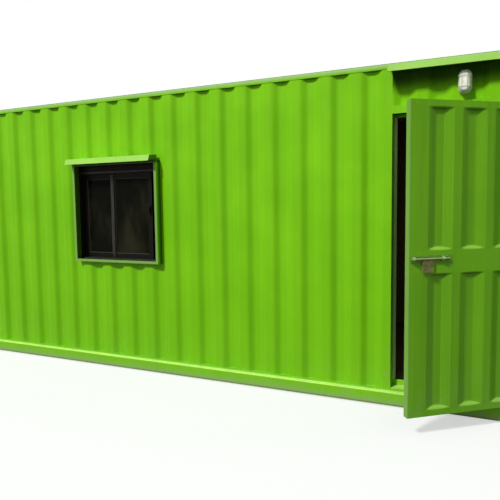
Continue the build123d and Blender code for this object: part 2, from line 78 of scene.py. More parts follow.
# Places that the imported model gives, in metres
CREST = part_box("front_wall_middle")[0].y
RAIL_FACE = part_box("bottom_rail_front")[0].y
RAIL_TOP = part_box("top_rail_front")[1].z
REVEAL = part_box("door_jamb_left")[1].x
LENS_LOW, LENS_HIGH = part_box("light_lens")
LAMP_LOW, LAMP_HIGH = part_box("light_base")
SASH_LOW, SASH_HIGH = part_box("window_sashes")
GLAZING_LOW, GLAZING_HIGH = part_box("window_frame")
HOOD_LOW, HOOD_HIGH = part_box("window_hood")
TRIM_LOW, TRIM_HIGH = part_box("window_surround")
HINGE, SLIDE = frame["joints"]
PIN = Vector(HINGE["pos_m"])
ALONG_LEAF = Vector(SLIDE["axis"]).normalized()
OUT_OF_LEAF = UP.cross(ALONG_LEAF)
LEAF_TURN = Matrix((ALONG_LEAF, OUT_OF_LEAF, UP)).transposed().to_4x4()
LEAF_PLACE = Matrix.Translation((PIN.x, PIN.y, 0)) @ LEAF_TURN

# Nodes that get rounded edges, each with its new piece and finish
WALL_SHEETS = {
    "front_wall_left": ("sheet_front_left", "wall_enamel"),
    "front_wall_over_window": ("sheet_over_window", "wall_enamel"),
    "front_wall_under_window": ("sheet_under_window", "wall_enamel"),
    "front_wall_middle": ("sheet_front_middle", "wall_enamel"),
    # its finish carries a painted shadow under the canopy
    "front_wall_over_door": ("sheet_over_door", "canopy_shadow_enamel"),
    "back_wall": ("sheet_back", "wall_enamel"),
    "left_end_wall": ("sheet_left_end", "wall_enamel"),
    "right_end_wall": ("sheet_right_end", "wall_enamel"),
}
ROLLED_STEEL = {
    "bottom_rail_front": ("rail_front_low", "bottom_rail_enamel"),
    "bottom_rail_back": ("rail_back_low", "bottom_rail_enamel"),
    "bottom_end_rails": ("rails_end_low", "end_rail_enamel"),
    "top_rail_front": ("rail_front_high", "top_rail_enamel"),
    "top_rail_back": ("rail_back_high", "top_rail_enamel"),
    "top_end_rails": ("rails_end_high", "top_rail_enamel"),
}
CASTINGS = {
    "corner_castings_bottom": ("castings_low", "casting_enamel"),
    "corner_castings_top": ("castings_high", "casting_enamel"),
}
LEAF_SHEETS = {
    "door_sheet_lower": "leaf_panel_lower",
    "door_sheet_upper": "leaf_panel_upper",
}
FOOT_WELDS = {
    "foot_weld_front": (("front_wall_left", "front_wall_under_window", "front_wall_middle"), AHEAD),
    "foot_weld_back": (("back_wall",), BACK),
    "foot_weld_left": (("left_end_wall",), LEFT),
    "foot_weld_right": (("right_end_wall",), RIGHT),
}

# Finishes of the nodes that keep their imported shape, by material slot and by node
SLOT_FINISHES = {
    "green_paint": "frame_enamel",
    "lining_board": "lining_board",
    "floor_ply": "floor_ply",
    "dark_aluminium": "bronze_bars",
    "window_glass": "tinted_pane",
    "worn_steel": "painted_guides",
    "light_body": "lamp_casting",
    "light_lens": "lamp_glass",
}
NODE_FINISHES = {
    "slide_bolt": "rusty_bolt",
    "door_frame": "leaf_frame_enamel",
    "door_jamb_left": "jamb_enamel",
    "door_canopy": "canopy_enamel",
    "door_sill": "sill_enamel",
    "roof_sheet": "roof_enamel",
    "window_hood": "hood_enamel",
    "window_surround": "trim_enamel",
    "lining_left": "end_lining_board",
    "lining_right": "end_lining_board",
}

# Limits that choose the edges to round and to shade sharp
FOLD_ANGLES = (radians(12), radians(65))
ROLLED_ANGLE = radians(10)
ROLLED_LENGTH = 1.0
CAST_ANGLE = radians(60)
SHARP_ANGLE = radians(38)
FLAT_ANGLE = radians(1)
FLATS_WEIGHT = 100

# How near two places count as one, in metres
DOUBLES = 1e-6
PACKED_DOUBLES = 1e-5
SAME_LEVEL = 0.0005
SAME_STOP = 0.001

# Pressed door sheet: its grid, its pockets, and its slices as shares of the step and of a pocket's end
SHEET_COLUMNS, SHEET_ROWS = 7, 3
POCKET_COLUMNS = (1, 3, 5)
FINE_SHARE, COARSE_SHARE = 0.5, 8
END_ZONE_SHARE = 4
EASING = 0.5

# Welds and wires
BEAD_SIDES, WIRE_SIDES, SEAL_SIDES = 6, 8, 6
BEAD_RIPPLE = 0.12
FOOT_FACING = 0.3

# Light guard: places of its bars as shares of its half sizes, and how square their bulge is
HOOP_STEPS, BAR_STEPS, CROSS_BAR_STEPS = 32, 16, 12
BAR_SHARES = (-0.42, 0.42)
CROSS_BAR_SHARES = (-0.45, 0.45)
BULGE = 0.45

# Window fittings, in metres, with places across a stile as shares of its width
SEAT = 0.002
STRIP_SHARES = (-0.9, -0.1)
STRIP_PROUD, STRIP_SHORT, STRIP_EDGE = 0.007, 0.004, 0.003
LIP_PROUD, LIP_FOOT, LIP_TOP = 0.014, 0.010, 0.028
LATCH_RISE = 0.06
LATCH_SHARE, LATCH_WIDTH_SHARE = 0.25, 0.5
KNOB_SHARES = (0.12, 0.38)
LATCH_PROUD, LATCH_HALF, LATCH_EDGE = 0.006, 0.055, 0.002
KNOB_PROUD, KNOB_SINK, KNOB_HALF, KNOB_EDGE = 0.024, 0.004, 0.030, 0.004
LATCH_SCREW_RISE, LATCH_SCREW = 0.044, (0.004, 0.002)

# Door fittings, in metres: screws by a share of the guides' length and an offset, heads by radius and height
STUD_SIDES, STUD_STEPS, STUD_ROUND_SHARE = 14, 3, 0.6
GUIDE_PLATE = 0.003
GUIDE_SCREW_PLACES = ((0, 0.040), (0.5, -0.025), (0.5, 0.055), (1, -0.042))
GUIDE_SCREW_MARGIN = 0.009
GUIDE_SCREW = (0.0055, 0.003)
PIN_HEAD = (0.009, 0.004)

# Fineness of the patterns in the finishes, in waves per metre
PATCHES, WEATHER, SPECKS, FLAKES, SHEEN = 1.7, 2.6, 9.0, 38.0, 6.0
RUNS = (17.0, 17.0, 0.55)
PANTING = (2.1, 2.1, 1.1)
BRUSHED = (210.0, 210.0, 12.0)
DRAWN_LINES = (300.0, 300.0, 9.0)
HAND_RUBS = (45.0, 45.0, 5.0)
WIPES = (5.0, 5.0, 2.2)
SLIDE_RUBS = (90.0, 20.0, 60.0)
WOOD_GRAIN = (40.0, 40.0, 2.5)

# Pitch of the lens's ribs and width of a board, in metres
LENS_RIB = 0.007
BOARD_WIDTH = 1.22

# Shares by which a part of the paint is lighter or darker: pale and dark runs, the lower wall, painted shade on
# faces that look down, and painted shade under the canopy, in the window's reveal and at the hood's end
PALE_RUN, DARK_RUN, LOW_WALL, UNDERSIDE_SHADE = 1.15, 0.82, 0.84, 0.30
DEEP_SHADE_SHARE, SHADE_SHARE = 0.06, 0.09

# Colours of stains, rubbed paint, painted highlights, light and reflection, and the small fittings, the clean one
# before the dusty, worn or paler one
FOOT_STAIN = (0.100, 0.105, 0.045, 1)
RUBBED_PAINT = (0.300, 0.400, 0.190, 1)
RAIL_RIM = (0.390, 0.600, 0.240, 1)
HOOD_BLOOM_AND_HIGHLIGHT = (0.460, 0.600, 0.330, 1)
JAMB_STOP_AND_LIGHT = (0.46, 0.60, 0.26, 1)
TRIM_DULL = (0.210, 0.330, 0.110, 1)
BAR_DUST = (0.06, 0.055, 0.045, 1)
BOLT_DUST_AND_HIGHLIGHT = (0.300, 0.430, 0.180, 1)
BOARD_JOINT = (0.02, 0.015, 0.01, 1)
WORN_BARS = ((0.014, 0.013, 0.009, 1), (0.036, 0.034, 0.025, 1))
PANE = ((0.009, 0.010, 0.005, 1), (0.042, 0.041, 0.022, 1))
RUBBER = ((0.012, 0.012, 0.012, 1), (0.045, 0.043, 0.038, 1))
CASTING = ((0.80, 0.82, 0.66, 1), (0.58, 0.60, 0.44, 1))
LENS = ((0.96, 0.97, 0.86, 1), (0.78, 0.80, 0.62, 1))

# Floor and light
WHITE = (1, 1, 1, 1)
FLOOR_PALE = (0.95, 0.95, 0.95, 1)
FLOOR_DIM = (0.22, 0.22, 0.21, 1)
FLOOR_GLOW = 0.55
FLOOR_DROP = 0.002
FILL_COLOUR = (0.97, 0.99, 1.0, 1)
FILL_FADE = (-0.2, 0.9)

# Camera of the photograph: place, heading, tilt and roll, with the focal length in picture widths
CAMERA_PLACE = Vector((2.6856, -5.3701, 1.5565))
CAMERA_YAW = radians(-25.524)
CAMERA_PITCH = radians(-4.808)
CAMERA_ROLL = radians(-0.764)
FOCAL_SHARE = 552.59 / 500
SENSOR = 36.0
VIEW_END = 500


class CabinFinish(bpy.types.PropertyGroup):
    """Colours of the cabin's finishes"""

    paint_light: FloatVectorProperty(
        name="Paint, faded", description="Green enamel where sun has faded it",
        subtype="COLOR", size=4, min=0, max=1, default=(0.214, 0.580, 0.0075, 1))
    paint_deep: FloatVectorProperty(
        name="Paint, fresh", description="Green enamel where it has kept its colour",
        subtype="COLOR", size=4, min=0, max=1, default=(0.173, 0.505, 0.0050, 1))
    # Chalk also serves as a painted highlight on faces that look up.
    chalk: FloatVectorProperty(
        name="Chalked paint", description="Paint on faces that look up, chalked by sun and dust",
        subtype="COLOR", size=4, min=0, max=1, default=(0.520, 0.840, 0.160, 1))
    dust: FloatVectorProperty(
        name="Dust", description="Dust splashed up from the ground",
        subtype="COLOR", size=4, min=0, max=1, default=(0.245, 0.385, 0.125, 1))
    rust: FloatVectorProperty(
        name="Rust", description="Rust in chips of the paint",
        subtype="COLOR", size=4, min=0, max=1, default=(0.130, 0.055, 0.022, 1))
    bolt_rust: FloatVectorProperty(
        name="Bolt rust", description="Brown rust of the slide bolt",
        subtype="COLOR", size=4, min=0, max=1, default=(0.124, 0.102, 0.029, 1))
    bare_steel: FloatVectorProperty(
        name="Bare steel", description="Steel rubbed bare on the bolt and its guides",
        subtype="COLOR", size=4, min=0, max=1, default=(0.300, 0.290, 0.260, 1))
    bronze: FloatVectorProperty(
        name="Window bars", description="Dark anodised aluminium",
        subtype="COLOR", size=4, min=0, max=1, default=(0.008, 0.007, 0.005, 1))
    lining: FloatVectorProperty(
        name="Lining", description="Varnished board inside",
        subtype="COLOR", size=4, min=0, max=1, default=(0.300, 0.270, 0.100, 1))


class CabinSizes(bpy.types.PropertyGroup):
    """Sizes of the small shapes"""

    fold_reach: FloatProperty(
        name="Fold", description="How far a rounded fold reaches along the wall sheet",
        unit="LENGTH", default=0.015, min=0.001, max=0.03)
    fold_steps: IntProperty(
        name="Fold steps", description="Flats in each rounded fold", default=3, min=1, max=6)
    corner_reach: FloatProperty(
        name="Rolled corner", description="How far the round corner of a rail reaches",
        unit="LENGTH", default=0.006, min=0.001, max=0.02)
    casting_reach: FloatProperty(
        name="Casting edge", description="How far the round edge of a corner casting reaches",
        unit="LENGTH", default=0.004, min=0.001, max=0.01)
    press_step: FloatProperty(
        name="Pressing step", description="Spacing of the bends in a pressed door panel",
        unit="LENGTH", default=0.008, min=0.003, max=0.03)
    press_passes: IntProperty(
        name="Pressing softness", description="How often the pressed folds are eased",
        default=8, min=0, max=30)
    end_share: FloatProperty(
        name="Pocket ends", description="How far a door pocket's ends run out, as a share of the packed run",
        subtype="FACTOR", default=0.6, min=0.3, max=1)
    sheet_thickness: FloatProperty(
        name="Door sheet", description="Thickness of the pressed door sheet",
        unit="LENGTH", default=0.002, min=0.0005, max=0.005)
    bead_radius: FloatProperty(
        name="Weld bead", description="Radius of a weld bead",
        unit="LENGTH", default=0.004, min=0.001, max=0.01)
    bead_step: FloatProperty(
        name="Weld ripple", description="Length of one ripple of a weld bead",
        unit="LENGTH", default=0.014, min=0.004, max=0.05)
    wire_radius: FloatProperty(
        name="Guard wire", description="Radius of the light guard's wire",
        unit="LENGTH", default=0.0024, min=0.001, max=0.006)
    guard_gap: FloatProperty(
        name="Guard gap", description="Space between the light's glass and its guard",
        unit="LENGTH", default=0.007, min=0.002, max=0.02)
    seal_width: FloatProperty(
        name="Pane seal", description="Width of the rubber round each pane",
        unit="LENGTH", default=0.008, min=0.002, max=0.02)


class CabinStage(bpy.types.PropertyGroup):
    """Light and floor around the cabin"""

    sun_strength: FloatProperty(
        name="Key light", description="Strength of the key light", default=2.85, min=0, max=10)
    fill_strength: FloatProperty(
        name="Fill", description="Strength of the soft light from all round", default=0.50, min=0, max=2)
    fill_right: FloatProperty(
        name="Fill from the right", description="Share of the soft light that comes from the door's side",
        subtype="FACTOR", default=0.70, min=0, max=1)
    sun_from: FloatVectorProperty(
        name="Key from", description="Direction that the key light comes from",
        subtype="DIRECTION", size=3, default=(-0.38, -1.00, 0.98))
    sun_angle: FloatProperty(
        name="Key softness", description="Apparent width of the key light",
        subtype="ANGLE", default=radians(8), min=0, max=1)
    floor_size: FloatProperty(
        name="Floor", description="Side of the floor", unit="LENGTH", default=120, min=10, max=500)


class Shading:
    """The nodes of a material or a world, added a step at a time."""

    def __init__(self, owner):
        owner.use_nodes = True
        self.nodes = owner.node_tree.nodes
        self.links = owner.node_tree.links

    def node(self, kind, inputs=(), **settings):
        """Add a node with its settings, and link each input or set it to a plain value."""
        made = self.nodes.new("ShaderNode" + kind)
        for name, value in settings.items():
            setattr(made, name, value)
        for key, value in dict(inputs).items():
            self.feed(made.inputs[key], value)
        return made

    def feed(self, socket, value):
        """Link a socket to another, or set it to a plain value."""
        if isinstance(value, bpy.types.NodeSocket):
            self.links.new(value, socket)
        else:
            socket.default_value = value

    def band(self, value, low, high, first=0.0, last=1.0, easing="SMOOTHSTEP"):
        """Turn one range of a value into another and hold it at both ends."""
        inputs = {"Value": value, "From Min": low, "From Max": high, "To Min": first, "To Max": last}
        return self.node("MapRange", inputs, interpolation_type=easing).outputs["Result"]

    def calc(self, operation, first, second=0.0):
        """One sum of two values."""
        return self.node("Math", {0: first, 1: second}, operation=operation).outputs[0]


class Finish(Shading):
    """One node material on object coordinates."""

    def __init__(self, name):
        self.material = bpy.data.materials.new(name)
        super().__init__(self.material)
        self.shader = self.nodes["Principled BSDF"]
        self.place = self.node("TexCoord").outputs["Object"]
        axes = self.node("SeparateXYZ", {0: self.place}).outputs
        self.across, self.inward, self.level = axes["X"], axes["Y"], axes["Z"]

    def noise(self, scale, detail=3.0, rough=0.55, place=None):
        """Soft noise of a given fineness per metre."""
        inputs = {"Vector": place or self.place, "Scale": scale, "Detail": detail, "Roughness": rough}
        return self.node("TexNoise", inputs).outputs["Fac"]

    def grain(self, fineness, detail=3.0, rough=0.6):
        """Noise drawn out by its own fineness along each axis."""
        place = self.node("Mapping", {"Vector": self.place, "Scale": fineness}).outputs[0]
        return self.noise(1.0, detail, rough, place)

    def times(self, first, second):
        """One value as a share of another."""
        return self.calc("MULTIPLY", first, second)

    def mix(self, share, first, second):
        """Blend two colours by a share."""
        return self.node("Mix", {0: share, 6: first, 7: second}, data_type="RGBA").outputs[2]

    def along(self, way):
        """How far a place lies along a direction."""
        return self.node("VectorMath", {0: self.place, 1: way}, operation="DOT_PRODUCT").outputs["Value"]

    def facing_up(self, low, high):
        """How far a face looks up, or down for levels that fall, eased between two levels of its normal."""
        normal = self.node("NewGeometry").outputs["Normal"]
        return self.band(self.node("SeparateXYZ", {0: normal}).outputs["Z"], low, high)

    def relief(self, *layers):
        """Stack layers of bump, each a height, a strength and a depth in metres."""
        below = None
        for height, strength, depth in layers:
            made = self.node("Bump", {"Height": height, "Strength": strength, "Distance": depth})
            if below is not None:
                self.feed(made.inputs["Normal"], below)
            below = made.outputs[0]
        self.feed(self.shader.inputs["Normal"], below)

    def set(self, **values):
        """Set or link the shader's inputs, named with underscores for spaces."""
        for name, value in values.items():
            self.feed(self.shader.inputs[name.replace("_", " ")], value)


def leaf_corners(node):
    """The corners of a node, as distances along the leaf from its pin, out of its face, and up."""
    to_leaf = LEAF_PLACE.inverted()
    return [to_leaf @ corner.co for corner in frame["nodes"][node].data.vertices]


def tint(colour, share):
    """A colour made lighter or darker."""
    return tuple(channel * share for channel in colour[:3]) + (1.0,)


def layer(way, place, near, far, colour, share):
    """A layer of paint that comes in along a direction, between two distances from a place."""
    return way, place + near, place + far, colour, share


def all_over(colour, share):
    """A layer of paint with the same share everywhere, because it comes in below the cabin."""
    return layer(UP, 0, -2, -1, colour, share)


def enamel(name, streaks=0.30, chalk=0.75, grime=0.0, chips=0.0, waves=0.12, depth=1.0, layers=(),
           chalk_and_highlight_from=(0.12, 0.75), chalk_back=None, gloss=0.11):
    """Brushed green enamel: faded in streaks, chalked above with a painted highlight, grimy and chipped below,
    with painted shade on faces that look down.

    Chalk and painted highlight come in between the two levels of a face's normal in the argument that ends
    in _from, and between the two distances from the cabin's middle line in the one that ends in _back.
    Depth makes all the paint darker or lighter; on the door leaf it is painted shade.
    """
    colours = bpy.context.scene.cabin_finish
    f = Finish(name)
    patches = f.band(f.noise(PATCHES), 0.32, 0.70)
    base = f.mix(patches, tint(colours.paint_deep, depth), tint(colours.paint_light, depth))
    runs = f.grain(RUNS)
    base = f.mix(f.band(runs, 0.42, 0.72, 0.0, streaks), base, tint(colours.paint_light, PALE_RUN * depth))
    base = f.mix(f.band(runs, 0.30, 0.48, streaks, 0.0), base, tint(colours.paint_deep, DARK_RUN * depth))
    base = f.mix(f.band(f.level, 0.2, 2.3, 0.55, 0.0), base, tint(colours.paint_deep, LOW_WALL * depth))
    # Faces that look down get painted shade.
    base = f.mix(f.facing_up(-0.35, -0.9), base, tint(colours.paint_deep, UNDERSIDE_SHADE))
    for way, near, far, colour, share in layers:
        base = f.mix(f.band(f.along(way), near, far, 0.0, share), base, colour)
    weather = f.band(f.noise(WEATHER, 5.0, 0.62), 0.32, 0.62, 0.80, 1.0)
    # Faces that look up get chalk and a painted highlight.
    up_chalk_and_highlight = f.times(f.times(f.facing_up(*chalk_and_highlight_from), chalk), weather)
    if chalk_back:
        up_chalk_and_highlight = f.times(up_chalk_and_highlight, f.band(f.calc("ABSOLUTE", f.inward), *chalk_back))
    base = f.mix(up_chalk_and_highlight, base, tuple(colours.chalk))
    specks = f.noise(SPECKS, 6.0, 0.7)
    splash = f.times(f.band(f.level, 0.04, 0.60, 1.0, 0.0), f.band(specks, 0.35, 0.75))
    base = f.mix(f.times(splash, grime), base, tuple(colours.dust))
    foot = f.times(f.band(f.level, 0.008, 0.026, 1.0, 0.0), f.band(specks, 0.25, 0.6, 0.35, 0.8))
    base = f.mix(foot, base, FOOT_STAIN)
    rusty = f.band(f.calc("ADD", f.noise(FLAKES, 5.0, 0.65), chips), 0.735, 0.765)
    base = f.mix(rusty, base, tuple(colours.rust))
    sheen = f.band(f.noise(SHEEN, 4.0), 0.3, 0.7, 0.34, 0.50)
    sheen = f.calc("ADD", sheen, f.times(rusty, 0.35))
    panting = f.grain(PANTING, 1.0, 0.4)
    f.relief((panting, waves, 0.02), (f.grain(BRUSHED), 0.10, 0.0006), (rusty, 0.5, -0.0008))
    f.set(Base_Color=base, Roughness=sheen, Specular_IOR_Level=gloss)


def bronze_bars(name):
    """Dark anodised aluminium with drawing lines and dust on its upper faces."""
    colours = bpy.context.scene.cabin_finish
    f = Finish(name)
    lines = f.grain(DRAWN_LINES, 2.0, 0.5)
    base = f.mix(f.band(lines, 0.3, 0.7), tint(colours.bronze, 0.75), tint(colours.bronze, 1.35))
    base = f.mix(f.times(f.facing_up(0.3, 0.9), 0.5), base, BAR_DUST)
    f.relief((lines, 0.15, 0.0004))
    f.set(Base_Color=base, Roughness=f.band(lines, 0.3, 0.7, 0.32, 0.45), Metallic=0.1,
          Specular_IOR_Level=0.06)


def worn_bars(name):
    """Anodised bars rubbed paler where hands and rain reach them."""
    f = Finish(name)
    rubbed = f.band(f.grain(HAND_RUBS, 4.0), 0.35, 0.7)
    f.relief((f.grain(DRAWN_LINES, 2.0, 0.5), 0.15, 0.0004))
    f.set(Base_Color=f.mix(rubbed, *WORN_BARS), Roughness=f.band(rubbed, 0, 1, 0.36, 0.52),
          Specular_IOR_Level=0.2)


def tinted_pane(name):
    """Grey tinted glass whose paler patches are dust, wipe marks and painted reflection."""
    f = Finish(name)
    wipes_and_reflection = f.grain(WIPES, 4.0)
    f.set(Base_Color=f.mix(f.band(wipes_and_reflection, 0.40, 0.75), *PANE), Roughness=f.band(wipes_and_reflection, 0.45, 0.80, 0.05, 0.24),
          Transmission_Weight=0.5, IOR=1.12, Specular_IOR_Level=0.03)


def rubber(name):
    """Black rubber with pale dust."""
    f = Finish(name)
    dusty = f.band(f.noise(60.0, 4.0), 0.4, 0.75)
    f.relief((f.noise(400.0, 2.0), 0.2, 0.0005))
    f.set(Base_Color=f.mix(dusty, *RUBBER), Roughness=f.band(dusty, 0, 1, 0.55, 0.8), Specular_IOR_Level=0.3)


def rusty_steel(name, overspray, coat):
    """Rusty steel of the bolt with green overspray, paler on top with dust and a painted highlight."""
    colours = bpy.context.scene.cabin_finish
    f = Finish(name)
    blotch = f.noise(26.0, 5.0, 0.65)
    base = f.mix(f.band(blotch, 0.35, 0.65), tint(colours.bolt_rust, 0.75), tint(colours.bolt_rust, 1.3))
    rubbed = f.band(f.grain(SLIDE_RUBS, 4.0), 0.52, 0.68)
    base = f.mix(f.times(rubbed, 0.5), base, tuple(colours.bare_steel))
    paint = f.band(f.calc("ADD", f.noise(14.0, 4.0), overspray), 0.46, 0.60)
    base = f.mix(paint, base, tint(colours.paint_deep, coat))
    # Faces that look up are paler: dust and a painted highlight.
    base = f.mix(f.times(f.facing_up(-0.15, 0.7), 0.8), base, BOLT_DUST_AND_HIGHLIGHT)
    f.relief((blotch, 0.5, 0.0015), (f.noise(180.0, 3.0), 0.35, 0.0008))
    f.set(Base_Color=base, Roughness=f.band(paint, 0, 1, 0.75, 0.45), Metallic=f.times(rubbed, 0.25),
          Specular_IOR_Level=0.25)


def lamp_casting(name):
    """Dull cast aluminium of the light's body and guard."""
    f = Finish(name)
    stain = f.band(f.noise(30.0, 4.0), 0.35, 0.7)
    f.relief((f.noise(240.0, 3.0), 0.3, 0.0006))
    f.set(Base_Color=f.mix(stain, *CASTING), Roughness=f.band(stain, 0, 1, 0.45, 0.62), Metallic=0.1)


def lamp_glass(name):
    """Pale pressed glass with upright ribs and dust."""
    f = Finish(name)
    ribs = f.calc("SINE", f.times(f.across, 2 * pi / LENS_RIB))
    dusty = f.band(f.noise(40.0, 4.0), 0.35, 0.75)
    f.relief((f.band(ribs, -1, 1), 0.7, 0.0012))
    f.set(Base_Color=f.mix(dusty, *LENS), Roughness=f.band(dusty, 0, 1, 0.16, 0.34), Specular_IOR_Level=0.6)


def board_finish(name, colour, across):
    """Varnished board: long grain, with a dark joint at each board's edge along a direction."""
    f = Finish(name)
    grain = f.grain(WOOD_GRAIN, 5.0, 0.65)
    base = f.mix(f.band(grain, 0.3, 0.7), tint(colour, 0.72), tint(colour, 1.15))
    base = f.mix(f.band(f.noise(2.0, 3.0), 0.35, 0.7, 0.0, 0.35), base, tint(colour, 0.6))
    phase = f.calc("PINGPONG", f.calc("ADD", f.along(across), 60.0), BOARD_WIDTH / 2)
    gap = f.band(phase, 0.0015, 0.004, 1.0, 0.0)
    f.relief((grain, 0.15, 0.0008), (gap, 0.8, -0.002))
    f.set(Base_Color=f.mix(gap, base, BOARD_JOINT), Roughness=f.band(grain, 0.3, 0.7, 0.40, 0.58),
          Specular_IOR_Level=0.3)


def painted_finishes():
    """All the green enamels, each for its own pieces."""
    colours = bpy.context.scene.cabin_finish
    # A very dark paint for painted shade at the hood's end, under the hood and in the window's reveal.
    deep_shade = tint(colours.paint_deep, DEEP_SHADE_SHARE)
    shade = tint(colours.paint_deep, SHADE_SHARE)
    rubbed = all_over(RUBBED_PAINT, 0.03)
    splashed = layer(DOWN, 0, -0.085, -0.008, tuple(colours.dust), 0.75)
    enamel("wall_enamel", streaks=0.16, chalk=0.65, grime=0.12, waves=0.22)
    # Painted shadow of the canopy on the sheet over the door, darkest near the canopy, at the height of the light.
    canopy_shadow = layer(UP, LAMP_LOW.z, 0.02, LAMP_HIGH.z - LAMP_LOW.z - 0.01, shade, 0.92)
    enamel("canopy_shadow_enamel", streaks=0.22, chalk=0.4, waves=0.22, layers=(canopy_shadow,), gloss=0.04)
    enamel("weld_enamel", streaks=0.16, chalk=0.10, grime=0.12, waves=0.0, depth=0.92)
    enamel("roof_enamel", streaks=0.20, chalk=0.60, chips=0.05, waves=0.22, depth=0.92)
    enamel("frame_enamel", grime=0.40, chips=0.03)
    rim = layer(UP, RAIL_TOP, -0.032, -0.010, RAIL_RIM, 0.8)
    enamel("top_rail_enamel", chips=0.02, layers=(rim,))
    # The bottom rail's ledge is chalked and paler, with a painted highlight line kept along its front edge.
    enamel("bottom_rail_enamel", streaks=0.25, chalk=1.15, grime=0.30, chips=0.02, depth=1.05,
           layers=(splashed,), chalk_back=(-RAIL_FACE - 0.040, -RAIL_FACE - 0.022))
    enamel("end_rail_enamel", streaks=0.25, grime=0.30, chips=0.02, layers=(splashed,))
    enamel("casting_enamel", streaks=0.20, chalk=0.60, grime=0.40, chips=0.07, waves=0.0, layers=(splashed,))
    # The sill is paler and chalked on top, partly a painted highlight.
    enamel("sill_enamel", streaks=0.25, chalk=1.0, grime=0.20, chips=0.02, depth=1.1)
    # Painted shade on the hood's right end, which faces away from the key light.
    hood_end_shade = layer(RIGHT, HOOD_HIGH.x, -0.0016, -0.0004, deep_shade, 0.6)
    # The hood is paler all over and chalked on its leaning fascia: a pale bloom that is partly a painted
    # highlight.
    enamel("hood_enamel", streaks=0.20, chalk=0.35, waves=0.15, depth=0.95,
           layers=(all_over(HOOD_BLOOM_AND_HIGHLIGHT, 0.18), hood_end_shade), chalk_and_highlight_from=(0.05, 0.42))
    # Painted highlight: the outer part of the canopy, its fascia, is painted paler, and the leaning fascia is
    # chalked.
    fascia_highlight = layer(AHEAD, -CREST, 0, 0.10, RUBBED_PAINT, 0.30)
    enamel("canopy_enamel", streaks=0.25, chalk=0.25, waves=0.15, depth=0.86, layers=(fascia_highlight,),
           chalk_and_highlight_from=(0.05, 0.42))
    leaf_end = max(corner.x for corner in leaf_corners("door_frame"))
    leaf_edge = LEAF_PLACE.translation.dot(ALONG_LEAF) + leaf_end
    rubbed_edge = layer(ALONG_LEAF, leaf_edge, -0.008, -0.001, RUBBED_PAINT, 0.30)
    # The door leaf's paint is darkened as painted shade, because the leaf faces away from the key light.
    enamel("leaf_enamel", streaks=0.40, chalk=0.30, grime=0.22, chips=0.01, waves=0.25, depth=0.69,
           layers=(rubbed,))
    enamel("leaf_frame_enamel", streaks=0.40, chalk=0.30, grime=0.22, chips=0.02, waves=0.15, depth=0.73,
           layers=(rubbed, rubbed_edge))
    # Painted light on the jamb's reveal, which faces away from the key light, and a paler stop face that is partly
    # its paint and partly painted light.
    jamb_reveal_light = layer(RIGHT, REVEAL, -0.0015, -0.0003, tint(colours.paint_light, 1.5), 1.0)
    stop_paint_and_light = layer(BACK, CREST, 0.086, 0.091, JAMB_STOP_AND_LIGHT, 0.9)
    enamel("jamb_enamel", grime=0.30, chips=0.02, layers=(jamb_reveal_light, stop_paint_and_light))
    dull_face = layer(AHEAD, -TRIM_LOW.y, -0.004, -0.001, TRIM_DULL, 0.72)
    # Painted shadow of the hood on the trim's top, and painted shade deeper in the window's reveal.
    hood_shadow_on_trim = layer(UP, TRIM_HIGH.z, -0.035, -0.012, deep_shade, 0.8)
    window_reveal_shade = layer(BACK, TRIM_LOW.y, 0.010, 0.045, deep_shade, 0.75)
    enamel("trim_enamel", chalk=0.25, chips=0.01, waves=0.10, layers=(dull_face, hood_shadow_on_trim, window_reveal_shade))


def finishes():
    """All finishes by name, made once."""
    if "wall_enamel" not in bpy.data.materials:
        painted_finishes()
        bronze_bars("bronze_bars")
        worn_bars("worn_bars")
        tinted_pane("tinted_pane")
        rubber("pane_rubber")
        rusty_steel("rusty_bolt", overspray=-0.17, coat=0.6)
        rusty_steel("painted_guides", overspray=0.12, coat=0.50)
        lamp_casting("lamp_casting")
        lamp_glass("lamp_glass")
        lining = bpy.context.scene.cabin_finish.lining
        board_finish("lining_board", lining, RIGHT)
        board_finish("end_lining_board", lining, AHEAD)
        board_finish("floor_ply", tint(lining, 0.7), RIGHT)
    return bpy.data.materials


def add_object(name, data):
    """Add an object to the scene, at the origin."""
    added = bpy.data.objects.new(name, data)
    bpy.context.scene.collection.objects.link(added)
    return added


def add_shape(made, name, material):
    """Turn a shape into an object with one material."""
    mesh = bpy.data.meshes.new(name)
    made.to_mesh(mesh)
    made.free()
    mesh.materials.append(material)
    return add_object(name, mesh)


def put(made, name, body, finish, replaced=()):
    """Turn a shape into a finished piece that rides on a body."""
    bmesh.ops.remove_doubles(made, verts=made.verts, dist=DOUBLES)
    bmesh.ops.recalc_face_normals(made, faces=made.faces)
    piece = add_shape(made, name, finishes()[finish])
    piece.data.shade_smooth()
    piece.data.set_sharp_from_angle(angle=SHARP_ANGLE)
    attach(piece, body)
    if replaced:
        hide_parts(*replaced)
    return piece


def only(kind, parts):
    """The parts of a shape that are of one kind."""
    return [part for part in parts if isinstance(part, kind)]


def edges_at(corners):
    """The edges that meet at some corners, each once and always in the same order."""
    return list(dict.fromkeys(edge for corner in corners for edge in corner.link_edges))


def block(made, low, high, reach):
    """Add a block between two corners with rounded edges."""
    low, high = Vector(low), Vector(high)
    corners = bmesh.ops.create_cube(made, size=1.0)["verts"]
    bmesh.ops.scale(made, vec=high - low, verts=corners)
    bmesh.ops.translate(made, vec=(low + high) / 2, verts=corners)
    bmesh.ops.bevel(made, geom=edges_at(corners), offset=reach, segments=2, profile=0.5, affect="EDGES",
                    material=-1)


